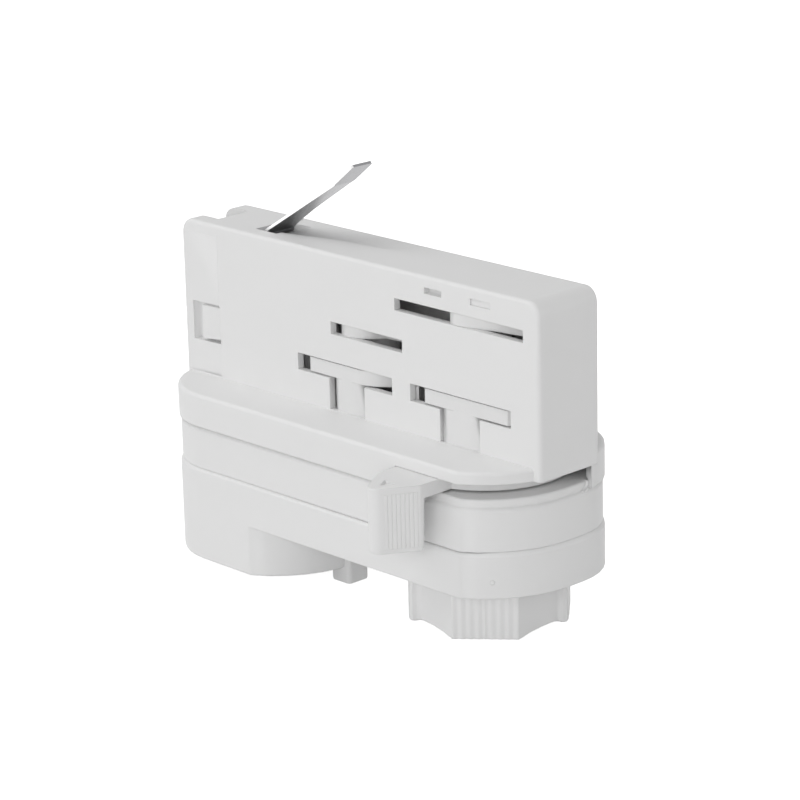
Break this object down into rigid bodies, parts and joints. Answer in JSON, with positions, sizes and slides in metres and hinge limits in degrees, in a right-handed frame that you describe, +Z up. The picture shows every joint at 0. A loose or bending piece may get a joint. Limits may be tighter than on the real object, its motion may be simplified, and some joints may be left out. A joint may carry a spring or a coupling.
{
  "type": "track light adapter",
  "caption": "White plug-in adapter for a mains lighting track, with a turning lock lever, swing-out contacts, a circuit selector knob, a sprung earth blade and a seat for a light.",
  "frame": {"origin": "middle of the head's length and width, at the height of the ledge that the track's lips rest on", "axes": "+X along the track towards the end with the lever, +Y across it away from the lever at rest, +Z up into the track"},
  "size_m": [0.0924, 0.046, 0.0807],
  "materials": {
    "white_plastic": "fine satin moulding",
    "rotor_plastic": "satin moulding",
    "brass": "stamped brass",
    "zinc_steel": "zinc plated",
    "bright_spring": "bright rolled strip"
  },
  "bodies": {
    "housing": {"contact_housing": "white_plastic", "base_housing": "white_plastic", "gear_plate": "white_plastic", "bottom_cover": "white_plastic", "detent_spring": "zinc_steel", "spring_insert": "white_plastic", "earth_strip": "brass", "terminal_block": "white_plastic", "phase_clamp": "brass", "earth_clamp": "brass", "neutral_clamp": "brass", "phase_screw": "zinc_steel", "earth_screw": "zinc_steel", "neutral_screw": "zinc_steel", "cover_screw_front": "zinc_steel", "cover_screw_back": "zinc_steel", "mounting_nipple": "zinc_steel", "nipple_nut": "zinc_steel"},
    "lever": {"lever": "white_plastic", "drive_gear": "rotor_plastic", "right_lock_rotor": "rotor_plastic"},
    "neutral_rotor": {"left_lock_rotor": "rotor_plastic", "driven_gear": "rotor_plastic", "neutral_contact_carrier": "rotor_plastic", "neutral_contact": "brass"},
    "selector": {"selector_knob": "white_plastic", "selector_shaft": "rotor_plastic", "detent_cam": "rotor_plastic", "phase_contact_carrier": "rotor_plastic", "phase_contact": "brass"},
    "earth_blade": {"earth_spring": "bright_spring"}
  },
  "joints": [
    {"name": "lever_turn", "type": "hinge", "parent": "housing", "child": "lever", "pos_m": [0.0263, 0, 0], "axis": [0, 0, 1], "range_deg": [0, 90]},
    {"name": "neutral_rotor_turn", "type": "hinge", "parent": "housing", "child": "neutral_rotor", "pos_m": [-0.00195, 0, 0], "axis": [0, 0, 1], "range_deg": [-90, 0]},
    {"name": "selector_turn", "type": "hinge", "parent": "housing", "child": "selector", "pos_m": [0.0263, 0, 0], "axis": [0, 0, 1], "range_deg": [0, 270]},
    {"name": "earth_spring_press", "type": "hinge", "parent": "housing", "child": "earth_blade", "pos_m": [-0.028, 0, 0.0283], "axis": [0, 1, 0], "range_deg": [0, 15], "stiffness_Nm_per_rad": 0.3}
  ],
  "couplings": [
    {"joint": "neutral_rotor_turn", "follows": "lever_turn", "ratio": -1}
  ]
}
